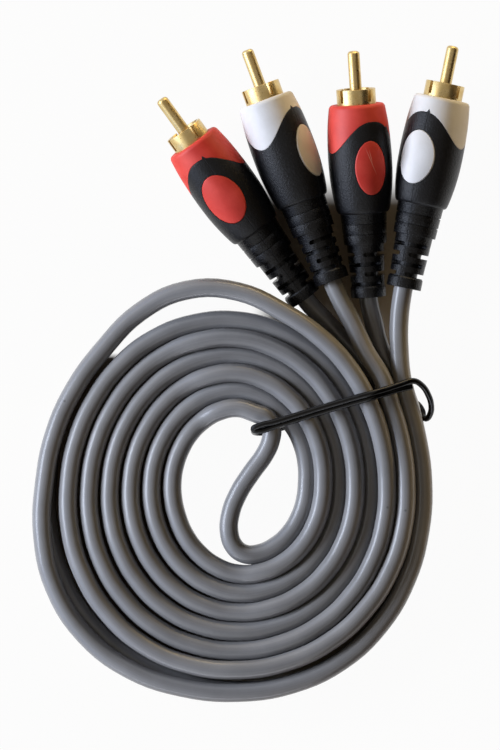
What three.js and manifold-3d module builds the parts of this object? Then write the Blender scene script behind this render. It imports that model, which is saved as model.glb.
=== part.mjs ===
// Stereo audio patch lead: a grey twin cord wound flat from its middle and tied,
// which splits near each end into two leads with a moulded two-colour phono plug.
// Millimetres, +Z up. The lead lies on z = 0 and is seen from above with +Y as "up".
import * as THREE from "three";
import { mergeVertices } from "three/addons/utils/BufferGeometryUtils.js";
import Module from "manifold-3d";

const wasm = await Module();
wasm.setup();

// Driving dimensions: contact pin, ground ring and insulator
const PIN_DIAMETER = 3.2;
const PIN_REACH = 10.0; // ahead of the ground ring
const PIN_TIP_ROUND = 0.9;
const PIN_TAIL_DIAMETER = 2.0;
const PIN_TAIL_LENGTH = 3.0; // behind the insulator
const PIN_SEGMENTS = 16;
const RING_DIAMETER = 10.3;
const RING_WALL = 1.0;
const RING_REACH = 4.0; // ahead of the collar
const RING_SEAT = 5.0; // length of the ring that sits in the collar
const RING_SLOT_WIDTH = 1.0;
const RING_SLOT_LENGTH = 3.4;
const SOCKET_DEPTH = 6.5; // from the ring's front edge to the insulator's face

// Driving dimensions: plug body, measured back from the collar's front face
const BODY_LENGTH = 28.6;
const COLLAR_RADIUS = 7.3;
const COLLAR_EDGE_ROUND = 0.8;
const BODY_RADIUS = 8.4; // at its widest
const BODY_END_RADIUS = 6.9;
const BODY_WIDEST_AT = 15.0;
const BODY_SHOULDER_AT = 5.25; // where most of the swelling is done
const BODY_SHOULDER_SHARE = 0.65; // of the swelling, done by then
const CORE_RADIUS = 5.9; // coloured moulding inside the black grip
const CORE_FRONT = 1.0;
const CORE_END_WALL = 2.6; // black moulding behind the core
const WAVE_CREST = 4.5; // black front edge, over the ovals
const WAVE_TROUGH = 12.4; // tip of the coloured tongue, between the ovals
// From crest to tongue: across, in body radii, and the share of the way back
const WAVE_SHAPE = [[1.1, -0.05], [0.94, 0.06], [0.5, 0.6], [0.25, 0.886], [0, 1]];
const OVAL_LENGTH = 14.3;
const OVAL_CENTRE = 16.5;
const NECK_LENGTH = 8.2;
const NECK_FRONT_RADIUS = 6.0;
const NECK_END_RADIUS = 5.6;
const NECK_GROOVE = 0.3;
const NECK_RINGS = 3;
const RELIEF_LENGTH = 14.0;
const RELIEF_FRONT_RADIUS = 4.9;
const RELIEF_WAIST_RADIUS = 4.35;
const RELIEF_END_RADIUS = 4.6;
const RELIEF_END_BAND = 2.9; // length of the plain band at the end
const RELIEF_EDGE_CHAMFER = 0.3;
const RELIEF_SLOTS = 4;
const RELIEF_SLOT_WIDTH = 1.0;
const RELIEF_FIRST_SLOT = 2.6; // from the neck to the middle of the first slot
const RELIEF_SLOT_PITCH = 2.55;
const RELIEF_RIB_WIDTH = 5.8; // left between two opposite slots

// Driving dimensions: cord and tie
const CORD_DIAMETER = 5.0; // of each of the two joined jackets
const WEB_WIDTH = 1.5; // of the strip that joins them
const WIRE_DIAMETER = 2.2; // insulated core inside a jacket
const TIE_DIAMETER = 1.6;
const CLEARANCE = 0.3; // between pieces that touch on the real lead
const PAST = 1.0; // how far a cutting shape runs past a face

// Finishes
const GOLD = { color: 0xc9a24e, roughness: 0.28, metalness: 1.0 };
const GREY_VINYL = { color: 0x8b8a8d, roughness: 0.42, metalness: 0.0 };
const BLACK_VINYL = { color: 0x17171a, roughness: 0.5, metalness: 0.0 };
const RED_VINYL = { color: 0xc8322f, roughness: 0.5, metalness: 0.0 };
const WHITE_VINYL = { color: 0xe9e9ea, roughness: 0.5, metalness: 0.0 };
const CREAM_PLASTIC = { color: 0xdcd6c4, roughness: 0.6, metalness: 0.0 };
const BLACK_COATED_WIRE = { color: 0x0e0e10, roughness: 0.35, metalness: 0.0 };

// Plugs: middle of the collar's front face and of the relief's end, seen from above.
// turn is how far an oval faces from straight up towards +X, slotTurn how far a slot of the
// ground ring does, and tailHeight is the height of the cord where it leaves the relief.
const PLUGS = [
  {
    name: "red_1",
    finish: RED_VINYL,
    front: [-15.2, 60.9],
    tail: [14.6, 19.75],
    tailHeight: 5.0,
    turn: -14,
    slotTurn: 21,
    ovalWidth: 10.0,
  },
  {
    name: "white_1",
    finish: WHITE_VINYL,
    front: [4.0, 72.0],
    tail: [21.7, 24.2],
    tailHeight: 8.4,
    turn: 57,
    slotTurn: 24,
    ovalWidth: 8.5,
  },
  {
    name: "red_2",
    finish: RED_VINYL,
    front: [28.0, 70.87],
    tail: [31.2, 20.47],
    tailHeight: 5.2,
    turn: 22,
    slotTurn: 42,
    ovalWidth: 8.5,
  },
  {
    name: "white_2",
    finish: WHITE_VINYL,
    front: [50.55, 72.42],
    tail: [40.34, 22.68],
    tailHeight: 8.4,
    turn: -31,
    slotTurn: 45,
    ovalWidth: 10.0,
  },
];

// Winding: the distance of a turn from the coil's centre is base + pitch * turn number,
// and both change around the coil. One value for each 30 degrees, from +X towards +Y.
const COIL_CENTRE = [-3.16, -28.42];
const COIL_BASE = [18.2, 18.9, 20.4, 21.8, 20.3, 18.3, 17.3, 17.5, 19.4, 21.6, 21.1, 19.4];
const COIL_PITCH = [4.19, 4.09, 4.36, 4.58, 5.0, 5.21, 5.43, 5.75, 5.63, 5.04, 4.74, 4.46];
const COIL_STEP = 15; // degrees between two sections
// Angles run on from turn to turn. The last turn of each winding is slacker than the rest:
// it steps outwards for good, and bulges here and there.
const OUTER_WINDING = {
  startAngle: 75,
  endAngle: 1455, // where the second pair of leads begins
  turnZeroAt: 180,
  steps: [{ startAngle: 1185, endAngle: 1230, by: 0.8 }, { startAngle: 1380, endAngle: 1440, by: 0.25 }],
  bulges: [
    { atAngle: 1184, reachAngle: 40, by: 4.2 },
    { atAngle: 1297, reachAngle: 45, by: 2.0 },
    { atAngle: 1385, reachAngle: 45, by: 0.8 },
  ],
};
const INNER_WINDING = {
  startAngle: 285,
  endAngle: 1455, // where the first pair of leads begins
  turnZeroAt: 360,
  steps: [{ startAngle: 1350, endAngle: 1430, by: 0.8 }],
  bulges: [],
};
const OUTER_SETTLES = { startAngle: 1230, endAngle: 1290 }; // the outer winding comes down beside the coil
const ARCH = { atAngle: 1145, reachAngle: 80, by: 3.6 }; // and before that arches over its neighbours
const INNER_CLIMBS = { startAngle: 1290, endAngle: 1400 }; // the inner winding climbs towards its leads
// The S where one winding passes into the other, through the open middle
const MIDDLE_BEND = [
  [4.3, -11.35], [5.7, -13.95], [5.45, -17.3], [4.0, -20.8], [0.3, -26.0],
  [-3.0, -31.2], [-5.1, -36.6], [-5.5, -41.4], [-4.2, -45.2], [-1.6, -47.2],
];

// Leads: hand-chosen middles of each jacket from the winding's end to the plug, with heights
const LEADS = {
  white_2: [
    [41.2, -6.4, 9.1], [39.8, -0.5, 9.35], [39.2, 6.2, 9.0], [39.15, 13.6, 8.6],
  ],
  red_2: [
    [40.9, -5.2, 4.3], [38.6, -0.8, 4.4], [35.9, 3.4, 4.9], [33.9, 8.0, 5.1], [32.5, 13.8, 5.2],
  ],
  white_1: [
    [36.5, -6.8, 12.0], [34.7, -1.4, 11.8], [30.4, 5.8, 10.6], [26.9, 13.4, 9.2], [24.3, 18.4, 8.6],
  ],
  red_1: [
    [36.5, -7.0, 6.6], [33.9, -2.3, 5.8], [30.7, 1.8, 4.3], [27.4, 5.7, 3.0], [23.7, 9.8, 2.7],
    [19.6, 14.2, 3.7],
  ],
};
const LEAD_STEPS = 16;
const LEAD_STRAIGHT = 1.5; // a lead keeps its direction this far at both ends
const TIE_STEPS = 60;

// Tie: one wire, from its cut end over the coil, round its eye, back and underneath
const TIE_ROUTE = [
  [42.4, -3.3, 13.4], [39.3, -4.0, 14.6], [35.6, -5.1, 15.8], [31.2, -6.4, 17.5], [26.2, -7.8, 16.8],
  [19.0, -9.9, 15.8], [11.8, -12.1, 15.6], [6.2, -13.8, 15.5], [2.4, -14.9, 15.4],
  [0.9, -14.5, 15.8], [2.2, -13.6, 16.4],
  [6.2, -12.6, 16.7], [11.8, -10.9, 16.8], [19.0, -8.7, 17.0], [26.2, -6.6, 18.0], [31.2, -5.2, 18.7],
  [35.8, -3.9, 17.1], [39.5, -2.7, 15.7], [42.8, -1.8, 14.2], [45.1, -3.0, 12.2], [46.8, -5.5, 10.0],
  [47.6, -8.2, 7.6], [47.4, -10.4, 5.6], [46.5, -11.7, 4.1], [45.7, -11.4, 2.8], [45.3, -9.6, 1.9],
  [43.7, -7.6, 1.2], [40.2, -6.2, 1.0], [30.0, -8.4, 1.0], [20.0, -11.0, 1.0], [10.0, -13.7, 1.0],
  [3.6, -15.4, 1.0], [1.5, -15.4, 1.9], [1.2, -14.6, 6.0], [1.15, -14.4, 12.8],
];
const TIE_LIFT_REACH = 16.0; // how far the turns stay lifted beside the wire under them

const PLUG_SEGMENTS = 20;
const JACKET_SIDES = 8;
const degrees = THREE.MathUtils.degToRad;
const cordRadius = CORD_DIAMETER / 2;

// Solids

function solid(geometry) {
  const bare = geometry.clone();
  bare.deleteAttribute("normal");
  bare.deleteAttribute("uv");
  const merged = mergeVertices(bare, 1e-4);
  return new wasm.Manifold(
    new wasm.Mesh({
      numProp: 3,
      vertProperties: merged.attributes.position.array,
      triVerts: new Uint32Array(merged.index.array),
    }),
  );
}

function geometryOf(manifold) {
  const mesh = manifold.getMesh();
  const geometry = new THREE.BufferGeometry();
  geometry.setAttribute("position", new THREE.BufferAttribute(new Float32Array(mesh.vertProperties), 3));
  geometry.setIndex(new THREE.BufferAttribute(new Uint32Array(mesh.triVerts), 1));
  geometry.computeVertexNormals();
  return geometry;
}

// A turned piece around Y. Its profile lists [distance back, radius] from front to back.
function turned(profile, segments = PLUG_SEGMENTS) {
  const points = profile.map(([back, radius]) => new THREE.Vector2(radius, -back));
  return new THREE.LatheGeometry(points.reverse(), segments);
}

// A prism with its outline in X and Y, as deep as given and centred on Z
function prism(outline, depth) {
  const shape = new THREE.Shape(outline.map(([x, y]) => new THREE.Vector2(x, y)));
  const geometry = new THREE.ExtrudeGeometry(shape, { depth, bevelEnabled: false });
  return geometry.translate(0, 0, -depth / 2);
}

function named(name, geometry, finish) {
  const mesh = new THREE.Mesh(geometry, new THREE.MeshStandardMaterial(finish));
  mesh.name = name;
  return mesh;
}

// Plug outline: a swelling body, a ringed neck and a slotted strain relief

function bodyProfile(from, to, steps) {
  const shoulderRadius = THREE.MathUtils.lerp(COLLAR_RADIUS, BODY_RADIUS, BODY_SHOULDER_SHARE);
  const curve = new THREE.SplineCurve([
    new THREE.Vector2(0, COLLAR_RADIUS),
    new THREE.Vector2(BODY_SHOULDER_AT, shoulderRadius),
    new THREE.Vector2(BODY_WIDEST_AT, BODY_RADIUS),
    new THREE.Vector2(BODY_LENGTH, BODY_END_RADIUS),
  ]);
  const samples = curve.getPoints(60);
  const radiusAt = (back) => {
    const next = Math.max(1, samples.findIndex((point) => point.x >= back));
    const [a, b] = [samples[next - 1], samples[next]];
    return THREE.MathUtils.mapLinear(back, a.x, b.x, a.y, b.y);
  };
  return Array.from({ length: steps + 1 }, (_, i) => {
    const back = THREE.MathUtils.lerp(from, to, i / steps);
    return [back, Math.min(BODY_RADIUS, radiusAt(back))];
  });
}

function collarEdge() {
  const softened = COLLAR_EDGE_ROUND * (1 - Math.SQRT1_2);
  return [
    [0, COLLAR_RADIUS - COLLAR_EDGE_ROUND],
    [softened, COLLAR_RADIUS - softened],
  ];
}

const coreEnd = BODY_LENGTH - CORE_END_WALL;
const wholeBody = [
  [0, 0],
  ...collarEdge(),
  ...bodyProfile(COLLAR_EDGE_ROUND, BODY_LENGTH, 6),
  [BODY_LENGTH, 0],
];
const neckEnd = BODY_LENGTH + NECK_LENGTH;
const reliefEnd = neckEnd + RELIEF_LENGTH;

function neckProfile() {
  const ring = NECK_LENGTH / NECK_RINGS;
  return Array.from({ length: NECK_RINGS }, (_, i) => {
    const front = BODY_LENGTH + i * ring;
    const radius = THREE.MathUtils.lerp(NECK_FRONT_RADIUS, NECK_END_RADIUS, i / (NECK_RINGS - 1));
    const land = [[front, radius], [front + ring - NECK_GROOVE, radius]];
    const groove = [[front + ring - NECK_GROOVE, radius - NECK_GROOVE], [front + ring, radius - NECK_GROOVE]];
    return i < NECK_RINGS - 1 ? [...land, ...groove] : [[front, radius], [front + ring, radius]];
  }).flat();
}

// Everything ahead of the wavy edge between the colours, as seen from the side with a tongue
function aheadOfWave(gap) {
  const side = 2 * BODY_RADIUS;
  const left = WAVE_SHAPE.map(([across, back]) => [-across, back]);
  const both = [...left, ...WAVE_SHAPE.slice(0, -1).reverse()];
  const edge = new THREE.SplineCurve(
    both.map(([across, share]) => {
      const back = THREE.MathUtils.lerp(WAVE_CREST, WAVE_TROUGH, share) + gap;
      return new THREE.Vector2(across * BODY_RADIUS, -back);
    }),
  );
  const outline = edge.getPoints(14).map((point) => [point.x, point.y]);
  const top = [[side, outline.at(-1)[1]], [side, side], [-side, side], [-side, outline[0][1]]];
  return prism([...outline, ...top], 2 * side).rotateY(Math.PI / 2);
}

// The two opposite ovals, cut straight through along Z
function ovals(width, gap) {
  const oval = new THREE.EllipseCurve(0, -OVAL_CENTRE, width / 2 + gap, OVAL_LENGTH / 2 + gap);
  const points = oval.getPoints(16);
  return prism(points.slice(0, -1).map((point) => [point.x, point.y]), 4 * BODY_RADIUS);
}

// Plug pieces

const ringFront = -RING_REACH;
const insulatorFace = ringFront + SOCKET_DEPTH;
const ringBore = RING_DIAMETER / 2 - RING_WALL;
const pinTailEnd = RING_SEAT + CLEARANCE + PIN_TAIL_LENGTH;

function pin() {
  const tip = ringFront - PIN_REACH;
  const radius = PIN_DIAMETER / 2;
  return turned(
    [
      [tip, 0],
      [tip, radius - PIN_TIP_ROUND],
      [tip + 0.3 * PIN_TIP_ROUND, radius - 0.3 * PIN_TIP_ROUND],
      [tip + PIN_TIP_ROUND, radius],
      [RING_SEAT, radius],
      [RING_SEAT, PIN_TAIL_DIAMETER / 2],
      [pinTailEnd, PIN_TAIL_DIAMETER / 2],
      [pinTailEnd, 0],
    ],
    PIN_SEGMENTS,
  );
}

function insulator() {
  const outside = ringBore - CLEARANCE / 2;
  const inside = PIN_DIAMETER / 2 + CLEARANCE / 2;
  const back = RING_SEAT;
  return turned(
    [
      [insulatorFace, inside],
      [insulatorFace, outside],
      [back, outside],
      [back, inside],
      [insulatorFace, inside],
    ],
    PIN_SEGMENTS,
  );
}

// turn is the angle of a slot about the plug's axis, from the oval's side
function groundRing(turn) {
  const outside = RING_DIAMETER / 2;
  const sleeve = solid(
    turned([
      [ringFront, ringBore],
      [ringFront, outside],
      [RING_SEAT, outside],
      [RING_SEAT, ringBore],
      [ringFront, ringBore],
    ]),
  );
  const slot = new THREE.BoxGeometry(RING_SLOT_WIDTH, 2 * RING_SLOT_LENGTH, 2 * RING_DIAMETER);
  slot.translate(0, -ringFront, 0).rotateY(degrees(turn));
  const across = slot.clone().rotateY(Math.PI / 2);
  return geometryOf(sleeve.subtract(solid(slot)).subtract(solid(across)));
}

function collar(ovalWidth) {
  const body = solid(turned(wholeBody));
  const shown = body.intersect(solid(aheadOfWave(0)).add(solid(ovals(ovalWidth, 0))));
  const core = solid(
    turned([[CORE_FRONT, 0], [CORE_FRONT, CORE_RADIUS], [coreEnd, CORE_RADIUS], [coreEnd, 0]]),
  );
  const seatEnd = RING_SEAT + CLEARANCE;
  const pocket = solid(
    turned([
      [-PAST, 0],
      [-PAST, RING_DIAMETER / 2 + CLEARANCE / 2],
      [seatEnd, RING_DIAMETER / 2 + CLEARANCE / 2],
      [seatEnd, WIRE_DIAMETER / 2 + CLEARANCE],
      [coreEnd + PAST, WIRE_DIAMETER / 2 + CLEARANCE],
      [coreEnd + PAST, 0],
    ]),
  );
  return geometryOf(shown.add(core).subtract(pocket));
}

function grip(ovalWidth) {
  const bandFront = reliefEnd - RELIEF_END_BAND;
  const outside = solid(
    turned([
      ...wholeBody.slice(0, -1),
      ...neckProfile(),
      [neckEnd, RELIEF_FRONT_RADIUS],
      [bandFront, RELIEF_WAIST_RADIUS],
      [bandFront, RELIEF_END_RADIUS],
      [reliefEnd - RELIEF_EDGE_CHAMFER, RELIEF_END_RADIUS],
      [reliefEnd, RELIEF_END_RADIUS - RELIEF_EDGE_CHAMFER],
      [reliefEnd, 0],
    ]),
  );
  const boreRadius = cordRadius + CLEARANCE / 2;
  const pocketEnd = coreEnd + CLEARANCE;
  const bore = solid(
    turned([
      [-PAST, 0],
      [-PAST, CORE_RADIUS + CLEARANCE],
      [pocketEnd, CORE_RADIUS + CLEARANCE],
      [pocketEnd, boreRadius],
      [reliefEnd + PAST, boreRadius],
      [reliefEnd + PAST, 0],
    ]),
  );
  const cuts = [bore, solid(aheadOfWave(CLEARANCE)), solid(ovals(ovalWidth, CLEARANCE))];
  const depth = 2 * RELIEF_FRONT_RADIUS;
  for (let row = 0; row < RELIEF_SLOTS; row += 1) {
    const back = neckEnd + RELIEF_FIRST_SLOT + row * RELIEF_SLOT_PITCH;
    for (const side of [-1, 1]) {
      const slot = new THREE.BoxGeometry(2 * depth, RELIEF_SLOT_WIDTH, depth);
      slot.translate(0, -back, (side * (RELIEF_RIB_WIDTH + depth)) / 2);
      cuts.push(solid(slot.rotateY(row % 2 ? Math.PI / 2 : 0)));
    }
  }
  return geometryOf(cuts.reduce((left, cut) => left.subtract(cut), outside));
}

function coreWire() {
  const front = pinTailEnd + CLEARANCE;
  const radius = WIRE_DIAMETER / 2;
  return turned([[front, 0], [front, radius], [coreEnd, radius], [coreEnd, 0]], JACKET_SIDES);
}

// A plug lies on its widest part. Its group has the axis along Y, front towards +Y.
function plug({ name, finish, front, tail, tailHeight, turn, slotTurn, ovalWidth }) {
  const run = new THREE.Vector2(front[0] - tail[0], front[1] - tail[1]);
  const slope = (BODY_RADIUS - tailHeight) / (reliefEnd - BODY_WIDEST_AT);
  const place = new THREE.Group();
  place.position.set(front[0], front[1], BODY_RADIUS + slope * BODY_WIDEST_AT);
  place.rotation.set(Math.atan(slope), degrees(turn), run.angle() - Math.PI / 2, "ZXY");
  place.add(
    named(`${name}_pin`, pin(), GOLD),
    named(`${name}_insulator`, insulator(), CREAM_PLASTIC),
    named(`${name}_ground_ring`, groundRing(slotTurn - turn), GOLD),
    named(`${name}_collar`, collar(ovalWidth), finish),
    named(`${name}_grip`, grip(ovalWidth), BLACK_VINYL),
    named(`${name}_core_wire`, coreWire(), CREAM_PLASTIC),
  );
  place.updateMatrixWorld(true);
  return place;
}

// Winding

// Smooth value around the coil from twelve equally spaced ones
function around(values, angle) {
  const place = THREE.MathUtils.euclideanModulo(angle, 360) / (360 / values.length);
  const first = Math.floor(place);
  const t = place - first;
  const [a, b, c, d] = [-1, 0, 1, 2].map((i) => values[(first + i + values.length) % values.length]);
  return b + 0.5 * t * (c - a + t * (2 * a - 5 * b + 4 * c - d + t * (3 * (b - c) + d - a)));
}

// 1 at the centre, falling smoothly to 0 at halfWidth away
function hump(angle, centre, halfWidth) {
  const away = Math.abs(angle - centre) / halfWidth;
  return away < 1 ? Math.cos((away * Math.PI) / 2) ** 2 : 0;
}

const ease = THREE.MathUtils.smoothstep;

// Turns closer together than a cord's width ride up on their neighbours
function rideUp(angle) {
  const pitch = around(COIL_PITCH, angle);
  return Math.min(cordRadius, Math.sqrt(Math.max(0, CORD_DIAMETER ** 2 - pitch ** 2)));
}

function slackAt(angle, steps, bulges) {
  const stepped = steps.reduce(
    (sum, { startAngle, endAngle, by }) => sum + by * ease(angle, startAngle, endAngle),
    0,
  );
  return bulges.reduce(
    (sum, { atAngle, reachAngle, by }) => sum + by * hump(angle, atAngle, reachAngle),
    stepped,
  );
}

function outerRise(angle) {
  const settled = ease(angle, OUTER_SETTLES.startAngle, OUTER_SETTLES.endAngle);
  return rideUp(angle) * (1 - settled) + ARCH.by * hump(angle, ARCH.atAngle, ARCH.reachAngle);
}

function innerRise(angle) {
  return cordRadius * ease(angle, INNER_CLIMBS.startAngle, INNER_CLIMBS.endAngle);
}

// How far the turns are lifted by the tie's wire under them
const tieUnder = new THREE.Line3(new THREE.Vector3(3.6, -15.4, 0), new THREE.Vector3(43.6, -6.2, 0));

function tieLift(x, y) {
  const point = new THREE.Vector3(x, y, 0);
  const away = tieUnder.closestPointToPoint(point, true, new THREE.Vector3()).distanceTo(point);
  return (TIE_DIAMETER + CLEARANCE) * Math.exp(-((away / TIE_LIFT_REACH) ** 2));
}

function lifted(x, y, height) {
  return new THREE.Vector3(x, y, height + tieLift(x, y));
}

// Middle of the twin cord at an angle of a winding
function windingPoint(winding, rise, angle) {
  const turnNumber = (angle - winding.turnZeroAt) / 180;
  const slack = slackAt(angle, winding.steps, winding.bulges);
  const radius = around(COIL_BASE, angle) + around(COIL_PITCH, angle) * turnNumber + slack;
  const x = COIL_CENTRE[0] + radius * Math.cos(degrees(angle));
  const y = COIL_CENTRE[1] + radius * Math.sin(degrees(angle));
  return lifted(x, y, CORD_DIAMETER + rise(angle));
}

function windingPoints(winding, rise) {
  const count = (winding.endAngle - winding.startAngle) / COIL_STEP;
  return Array.from({ length: count + 1 }, (_, i) =>
    windingPoint(winding, rise, winding.startAngle + i * COIL_STEP),
  );
}

const outerPoints = windingPoints(OUTER_WINDING, outerRise);
const innerPoints = windingPoints(INNER_WINDING, innerRise);
const bendPoints = MIDDLE_BEND.map(([x, y], i) => {
  const fade = 1 - (i + 1) / (MIDDLE_BEND.length + 1);
  return lifted(x, y, CORD_DIAMETER + fade * outerRise(OUTER_WINDING.startAngle));
});

// A curve whose sections fall on its own points, so that turns side by side stay parallel
class RouteCurve extends THREE.CatmullRomCurve3 {
  getUtoTmapping(u) {
    return u;
  }
}

// The twin section, standing on edge: X of the outline points down, Y across the run
function twinSection() {
  const half = [0, 60, 120].map((angle) => {
    const across = cordRadius * Math.sin(degrees(angle));
    return [cordRadius + cordRadius * Math.cos(degrees(angle)), across];
  });
  const waist = [0, WEB_WIDTH / 2];
  const side = [...half, waist, ...half.slice().reverse().map(([x, y]) => [-x, y])];
  const other = side.slice(1, -1).reverse().map(([x, y]) => [x, -y]);
  return new THREE.Shape([...side, ...other].map(([x, y]) => new THREE.Vector2(x, y)));
}

function twinCord() {
  const points = [...outerPoints.slice().reverse(), ...bendPoints, ...innerPoints];
  const route = new RouteCurve(points, false, "centripetal");
  return new THREE.ExtrudeGeometry(twinSection(), {
    steps: points.length - 1,
    extrudePath: route,
    bevelEnabled: false,
  });
}

function roundSection(radius) {
  const corners = Array.from({ length: JACKET_SIDES }, (_, i) => {
    const angle = ((i + 0.5) * 2 * Math.PI) / JACKET_SIDES;
    return new THREE.Vector2(radius * Math.cos(angle), radius * Math.sin(angle));
  });
  return new THREE.Shape(corners);
}

function tube(points, radius, steps) {
  const route = new THREE.CatmullRomCurve3(points, false, "centripetal");
  return new THREE.ExtrudeGeometry(roundSection(radius), { steps, extrudePath: route, bevelEnabled: false });
}

// One jacket from the end of a winding to the back of the coloured moulding in its plug.
// side is 1 for the upper jacket of the twin cord and -1 for the lower one.
function lead(group, name, windingEnd, side) {
  const [before, end] = windingEnd;
  const onward = end.clone().sub(before).normalize();
  const up = new THREE.Vector3(0, 0, side * cordRadius);
  const start = end.clone().addScaledVector(onward, CLEARANCE).add(up);
  const along = (back) => group.localToWorld(new THREE.Vector3(0, -back, 0));
  const points = [
    start,
    start.clone().addScaledVector(onward, LEAD_STRAIGHT),
    ...LEADS[name].map(([x, y, z]) => new THREE.Vector3(x, y, z)),
    along(reliefEnd + LEAD_STRAIGHT),
    along(reliefEnd - LEAD_STRAIGHT),
    along(reliefEnd - 0.5 * RELIEF_LENGTH),
    along(coreEnd + 2 * CLEARANCE),
  ];
  return named(`lead_${name}`, tube(points, cordRadius, LEAD_STEPS), GREY_VINYL);
}

// Assembly

const model = new THREE.Group();
const plugs = Object.fromEntries(PLUGS.map((data) => [data.name, plug(data)]));
model.add(...Object.values(plugs));
model.add(named("cord_coil", twinCord(), GREY_VINYL));
const outerEnd = outerPoints.slice(-2);
const innerEnd = innerPoints.slice(-2);
model.add(
  lead(plugs.white_2, "white_2", outerEnd, 1),
  lead(plugs.red_2, "red_2", outerEnd, -1),
  lead(plugs.white_1, "white_1", innerEnd, 1),
  lead(plugs.red_1, "red_1", innerEnd, -1),
);
const tiePoints = TIE_ROUTE.map(([x, y, z]) => new THREE.Vector3(x, y, z));
model.add(named("wire_tie", tube(tiePoints, TIE_DIAMETER / 2, TIE_STEPS), BLACK_COATED_WIRE));

export default model;
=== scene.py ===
# %% [markdown]
# # A stereo audio patch lead, wound and tied
#
# The real object is a twin cord of two round grey jackets joined by a thin web. It is wound
# flat from its middle, held by a coated wire, and near each end it splits into two leads.
# Each lead ends in a moulded phono plug: gold contacts, a coloured collar with two oval
# pads, and a black grip with a ringed neck and a slotted strain relief.
#
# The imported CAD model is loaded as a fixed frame, and every piece below is made around it in
# the same place. Blender works in metres, while a plug is measured in millimetres, so shapes
# are made in millimetres and turned to metres once, when a piece is finished.

# %% The fixed frame
import functools
import math

import bmesh
import bpy
from mathutils import Matrix, Vector


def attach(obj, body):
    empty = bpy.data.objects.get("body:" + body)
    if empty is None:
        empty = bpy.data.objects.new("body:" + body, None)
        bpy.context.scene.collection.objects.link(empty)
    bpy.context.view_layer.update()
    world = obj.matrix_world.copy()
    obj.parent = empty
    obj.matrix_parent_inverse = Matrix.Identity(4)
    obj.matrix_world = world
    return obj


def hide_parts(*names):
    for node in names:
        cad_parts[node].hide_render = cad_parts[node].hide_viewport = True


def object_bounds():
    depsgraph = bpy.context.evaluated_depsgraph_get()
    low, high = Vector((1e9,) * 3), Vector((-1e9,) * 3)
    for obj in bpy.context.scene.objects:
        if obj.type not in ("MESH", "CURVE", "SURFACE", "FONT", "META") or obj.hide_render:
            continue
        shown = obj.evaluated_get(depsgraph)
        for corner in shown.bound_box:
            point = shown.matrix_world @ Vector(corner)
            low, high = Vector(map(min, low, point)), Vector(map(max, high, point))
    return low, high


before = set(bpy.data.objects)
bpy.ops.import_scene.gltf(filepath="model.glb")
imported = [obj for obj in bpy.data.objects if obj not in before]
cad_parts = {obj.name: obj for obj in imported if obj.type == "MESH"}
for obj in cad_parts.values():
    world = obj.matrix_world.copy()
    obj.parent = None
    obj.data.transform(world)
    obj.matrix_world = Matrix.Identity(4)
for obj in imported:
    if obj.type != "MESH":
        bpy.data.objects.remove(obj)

MM = 0.001
cad_low, cad_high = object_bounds()
cad_size = [round(v / MM, 1) for v in cad_high - cad_low]
print("frame:  ", len(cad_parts), "solids, box in mm", cad_size)

# %% [markdown]
# ## Camera
#
# The lead was photographed from straight above with the plugs at the top of the picture. A
# camera that looks down has its own up along +Y, so it needs no turn. The picture shows 3.8
# pixels for each millimetre. A long lens from far away keeps the plugs, which stand high, from
# looking larger than they are.

# %% The overhead camera
PHOTO_SIZE = (500, 750)
PIXELS_PER_MM = 3.8
PHOTO_MIDDLE = (0.0, -0.26)
CAMERA_HEIGHT = 4.0


def new_object(name, data):
    made = bpy.data.objects.new(name, data)
    bpy.context.scene.collection.objects.link(made)
    return made


camera_data = bpy.data.cameras.new("overhead_camera")
seen_height = PHOTO_SIZE[1] / PIXELS_PER_MM * MM
camera_data.lens = camera_data.sensor_width * CAMERA_HEIGHT / seen_height
camera = new_object("overhead_camera", camera_data)
camera.location = (PHOTO_MIDDLE[0] * MM, PHOTO_MIDDLE[1] * MM, CAMERA_HEIGHT)
bpy.context.scene.camera = camera
print("camera:  lens", round(camera_data.lens), "mm")

# %% [markdown]
# ## The route of the twin cord
#
# Someone doubled this cord in its middle and wound both halves together, so two windings run
# side by side and meet in an S in the open centre. The distance of a turn from the coil's
# centre is a base plus a pitch for each half turn, and both change a little around the coil,
# because it was wound by hand. Twelve values around the coil, joined smoothly, say how.
#
# The twin cord stands on its edge: one jacket lies above the other. Where turns are closer
# together than a cord is wide, they ride up on each other, and the last turn of each winding
# is slacker than the rest.

# %% Windings
CORD_DIAMETER = 5.0
CORD_RADIUS = CORD_DIAMETER / 2
COIL_CENTRE = Vector((-3.16, -28.42))
COIL_BASE = (18.2, 18.9, 20.4, 21.8, 20.3, 18.3, 17.3, 17.5, 19.4, 21.6, 21.1, 19.4)
COIL_PITCH = (4.19, 4.09, 4.36, 4.58, 5.0, 5.21, 5.43, 5.75, 5.63, 5.04, 4.74, 4.46)
OUTER_WINDING = {"start": 75, "end": 1455, "turn_zero_at": 180}
INNER_WINDING = {"start": 285, "end": 1455, "turn_zero_at": 360}
MIDDLE_BEND = (
    (4.3, -11.35), (5.7, -13.95), (5.45, -17.3), (4.0, -20.8), (0.3, -26.0),
    (-3.0, -31.2), (-5.1, -36.6), (-5.5, -41.4), (-4.2, -45.2), (-1.6, -47.2),
)


def around(values, angle):
    """A smooth value around the coil from equally spaced ones, the first at +X."""
    place = (angle % 360) / (360 / len(values))
    first = int(place)
    t = place - first
    a, b, c, d = (values[(first + i) % len(values)] for i in (-1, 0, 1, 2))
    return b + 0.5 * t * (c - a + t * (2 * a - 5 * b + 4 * c - d + t * (3 * (b - c) + d - a)))


def rise(low, high, value):
    """0 below low, 1 above high, and smooth in between."""
    t = min(1.0, max(0.0, (value - low) / (high - low)))
    return t * t * (3 - 2 * t)


def hump(angle, centre, half_width):
    """1 at the centre, falling smoothly to 0 at half_width away."""
    away = abs(angle - centre) / half_width
    return math.cos(away * math.pi / 2) ** 2 if away < 1 else 0.0


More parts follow.
